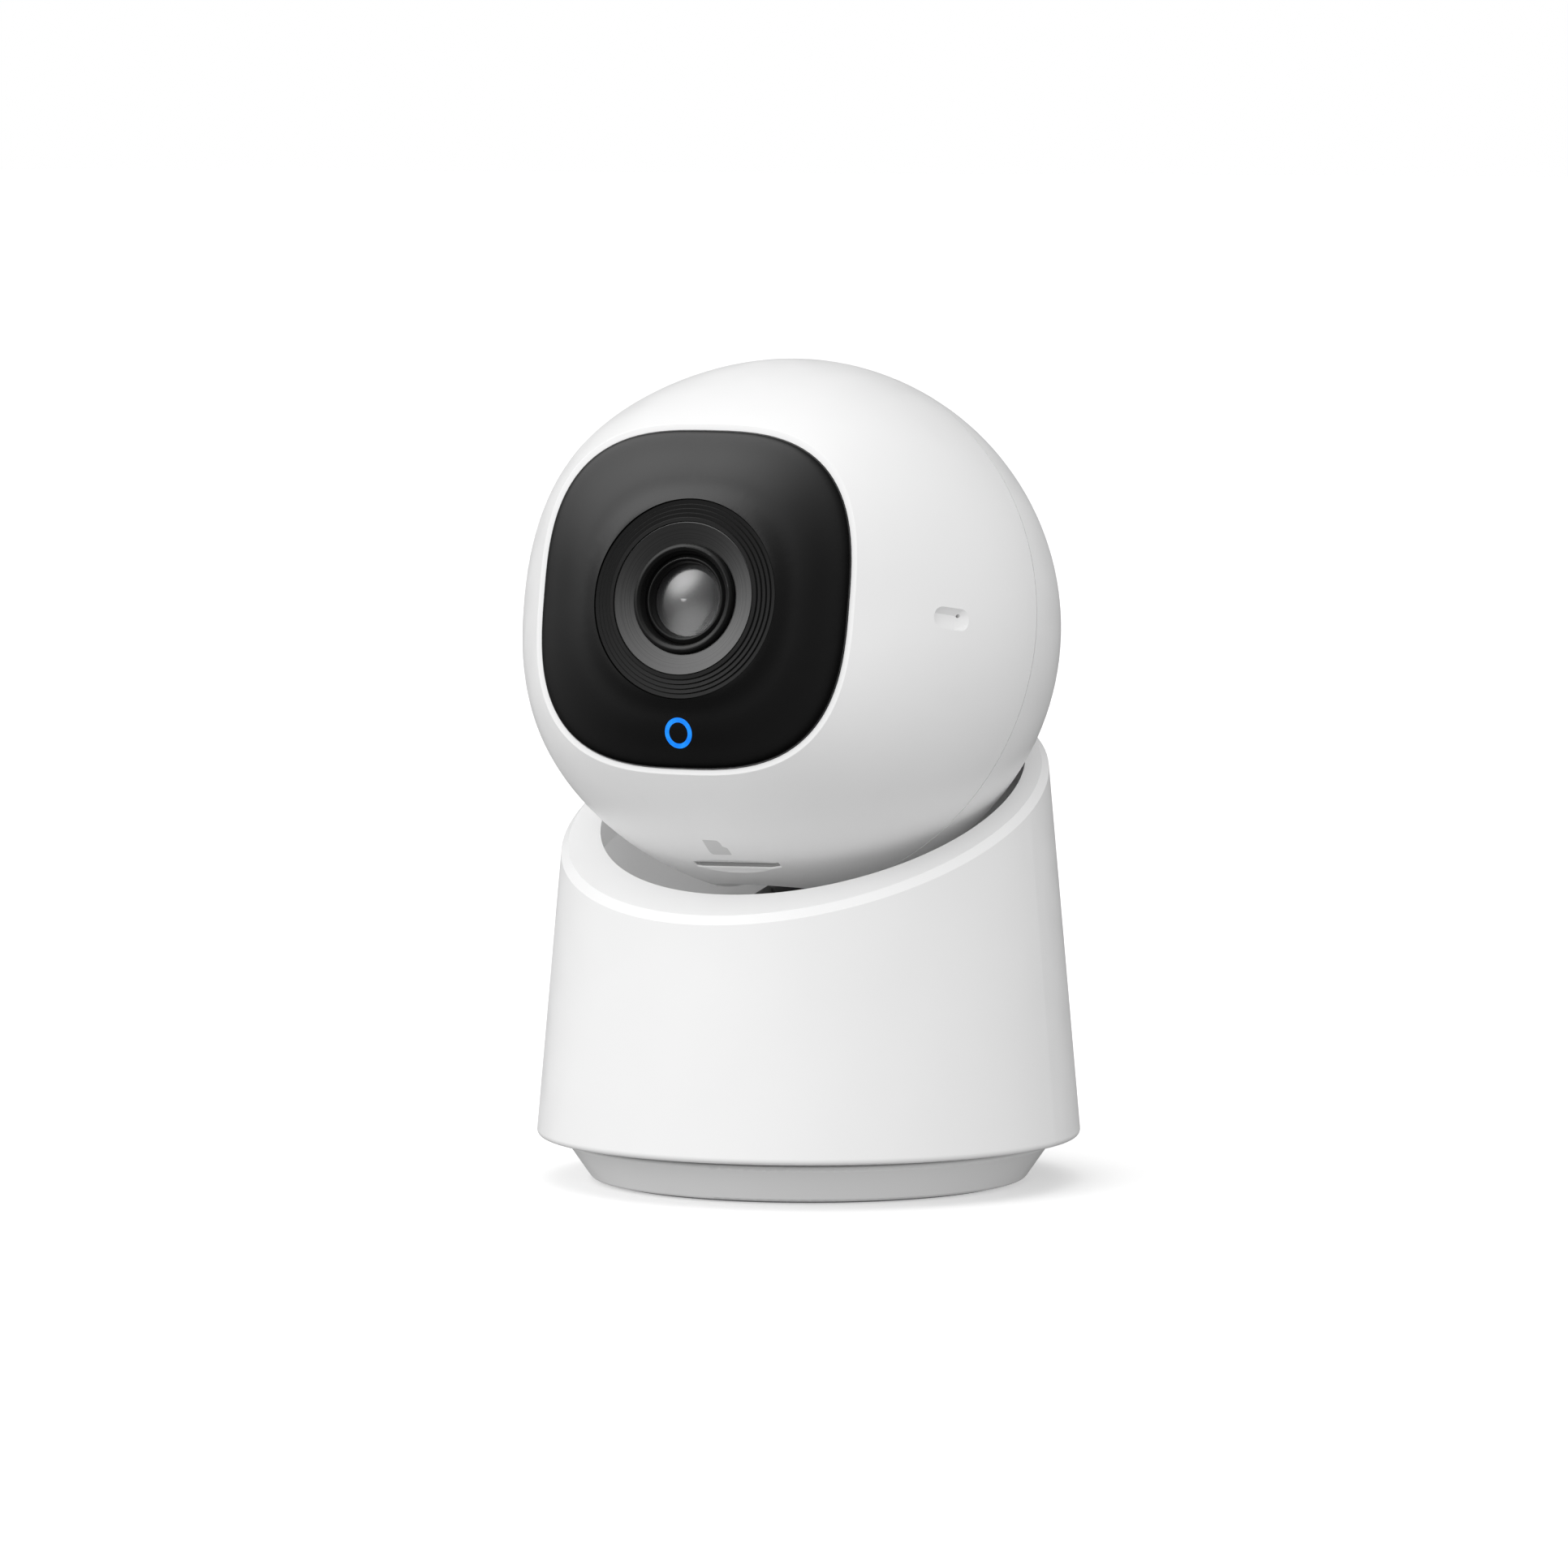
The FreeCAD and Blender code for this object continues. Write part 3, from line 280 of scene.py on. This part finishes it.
def make_light():
    """Blue diffuser of the status light, lit from behind."""
    make = Maker("status_blue")
    glow = make.noise(900.0, 2.0)
    make.link(make.ramp(glow, (0.0, 0.20, 0.9, 1), (0.0, 0.26, 1.0, 1)), make.shader.inputs["Base Color"])
    make.link(make.ramp(glow, (0.0, 0.21, 0.93, 1), (0.0, 0.25, 1.0, 1)),
              make.shader.inputs["Emission Color"])
    make.link(make.span(glow, 0.2, 0.3), make.shader.inputs["Roughness"])
    make.set(Emission_Strength=0.2)
    return make.material


BOARD = make_board()
WINDOW = make_window_black()
SPUN = make_spun()
GLASS = make_glass("lens_glass", (0.9, 0.92, 1.0, 1.0), 0.3)
LED_GLASS = make_glass("led_epoxy", (0.35, 0.3, 0.4, 1.0), 0.0)
BLUE = make_light()

BY_SLOT = {
    "shell_white": WHITE, "foot_grey": FOOT, "well_grey": WELL_SHADED_GREY, "pad_rubber": RUBBER,
    "window_black": WINDOW, "bezel_black": BEZEL, "mirror_black": SPUN, "barrel_black": BARREL,
    "lens_glass": GLASS, "light_blue": BLUE, "neck_dark": NECK, "collar_grey": COLLAR, "mark_grey": MARK,
    "inner_plastic": INNER, "pom_white": ACETAL, "steel": STEEL, "motor_steel": CAN, "brass": BRASS,
    "aluminium": ALUMINIUM, "board_green": BOARD, "chip_black": CHIP, "cone_paper": PAPER,
    "sensor_glass": LED_GLASS,
}
BY_NODE = {"card_socket": SLOT_PAINTED_SHADE, "front_lens": make_front_lens(), "second_lens": make_pupil()}


def dress_frame():
    """Gives every CAD node its material, by its own name or else by its slot."""
    for part in frame["record"]["subparts"]:
        piece = nodes[part["node"]]
        piece.data.materials.clear()
        piece.data.materials.append(BY_NODE.get(part["node"], BY_SLOT[part["material_slot"]]))


# ---- camera, floor and light ----
def place_camera():
    level = math.cos(VIEW_ELEVATION)
    back = Vector((math.sin(VIEW_AZIMUTH) * level, -math.cos(VIEW_AZIMUTH) * level,
                   math.sin(VIEW_ELEVATION)))
    right = Vector((math.cos(VIEW_AZIMUTH), math.sin(VIEW_AZIMUTH), 0))
    camera = bpy.data.objects.new("camera", bpy.data.cameras.new("camera"))
    scene.collection.objects.link(camera)
    camera.data.lens = FOCAL_MM
    camera.data.sensor_width = SENSOR_MM
    camera.data.clip_end = 50.0
    camera.location = right * VIEW_SIDE + Vector((0, 0, VIEW_HEIGHT)) + back * VIEW_DISTANCE
    camera.rotation_euler = (-back).to_track_quat("-Z", "Y").to_euler()
    scene.camera = camera


def make_floor():
    """Pale floor, unseen by reflections and by light that bounces off the object."""
    mesh = bpy.data.meshes.new("floor")
    corners = [(x * FLOOR_REACH, y * FLOOR_REACH, 0) for x, y in ((-1, -1), (1, -1), (1, 1), (-1, 1))]
    mesh.from_pydata(corners, [], [(0, 1, 2, 3)])
    floor = bpy.data.objects.new("floor", mesh)
    scene.collection.objects.link(floor)
    make = Maker("floor_pale")
    make.link(make.ramp(make.noise(3.0), grey(0.90), grey(0.92)), make.shader.inputs["Base Color"])
    make.set(Roughness=0.9, Specular_IOR_Level=0.0, Emission_Color=grey(1.0), Emission_Strength=0.2)
    mesh.materials.append(make.material)
    floor.visible_glossy = False
    floor.visible_diffuse = False


def area(name, where, power):
    """Square soft light that shows in no reflection."""
    light = bpy.data.lights.new(name, "AREA")
    light.shape = "RECTANGLE"
    light.size = LIGHT_SIDE
    light.size_y = LIGHT_SIDE
    light.energy = power
    lamp = bpy.data.objects.new(name, light)
    lamp.location = where
    lamp.rotation_euler = (Vector(LIGHT_AIM) - Vector(where)).to_track_quat("-Z", "Y").to_euler()
    lamp.visible_glossy = False
    scene.collection.objects.link(lamp)
    return lamp


def make_world():
    """White to the eye; a soft room, brighter in front on the left, for all that it lights;
    and a smooth glow up on the left for all that reflects it."""
    world = bpy.data.worlds.new("studio")
    scene.world = world
    world.use_nodes = True
    tree = world.node_tree
    tree.nodes.clear()
    place = tree.nodes.new("ShaderNodeTexCoord")
    path = tree.nodes.new("ShaderNodeLightPath")

    def background(strength=None):
        made = tree.nodes.new("ShaderNodeBackground")
        made.inputs["Color"].default_value = grey(1.0)
        if strength is not None:
            tree.links.new(strength, made.inputs["Strength"])
        return made.outputs["Background"]

    def glow(direction, steps):
        """Brightness along a direction, from (cosine, strength) steps."""
        dot = tree.nodes.new("ShaderNodeVectorMath")
        dot.operation = "DOT_PRODUCT"
        dot.inputs[1].default_value = Vector(direction).normalized()
        tree.links.new(place.outputs["Generated"], dot.inputs[0])
        curve = tree.nodes.new("ShaderNodeFloatCurve")
        shift = tree.nodes.new("ShaderNodeMapRange")
        shift.inputs["From Min"].default_value = -1.0
        tree.links.new(dot.outputs["Value"], shift.inputs["Value"])
        tree.links.new(shift.outputs["Result"], curve.inputs["Value"])
        line = curve.mapping.curves[0]
        peak = max(strength for cosine, strength in steps)
        places = [((cosine + 1) / 2, strength / peak) for cosine, strength in steps]
        line.points[0].location = places[0]
        line.points[1].location = places[-1]
        for x, y in places[1:-1]:
            line.points.new(x, y)
        curve.mapping.update()
        scale = tree.nodes.new("ShaderNodeMath")
        scale.operation = "MULTIPLY"
        scale.inputs[1].default_value = peak
        tree.links.new(curve.outputs["Value"], scale.inputs[0])
        return scale.outputs["Value"]

    def mix(chooser, off, on):
        made = tree.nodes.new("ShaderNodeMixShader")
        tree.links.new(path.outputs[chooser], made.inputs["Fac"])
        tree.links.new(off, made.inputs[1])
        tree.links.new(on, made.inputs[2])
        return made.outputs["Shader"]

    both = tree.nodes.new("ShaderNodeMath")
    both.operation = "MULTIPLY"
    tree.links.new(glow(ROOM_FROM, ROOM_STEPS), both.inputs[0])
    tree.links.new(glow((0, 0, 1), HEIGHT_STEPS), both.inputs[1])
    room = background(both.outputs["Value"])
    sheen = background(glow(SHEEN_FROM, SHEEN_STEPS))
    lit = mix("Is Glossy Ray", room, sheen)
    out = tree.nodes.new("ShaderNodeOutputWorld")
    tree.links.new(mix("Is Camera Ray", lit, background()), out.inputs["Surface"])


place_camera()
make_floor()
make_world()
area("key", KEY_PLACE, KEY_POWER)
fill = area("fill", FILL_PLACE, FILL_POWER)
fill.data.use_shadow = False
dress_frame()
scene.view_settings.view_transform = "Standard"
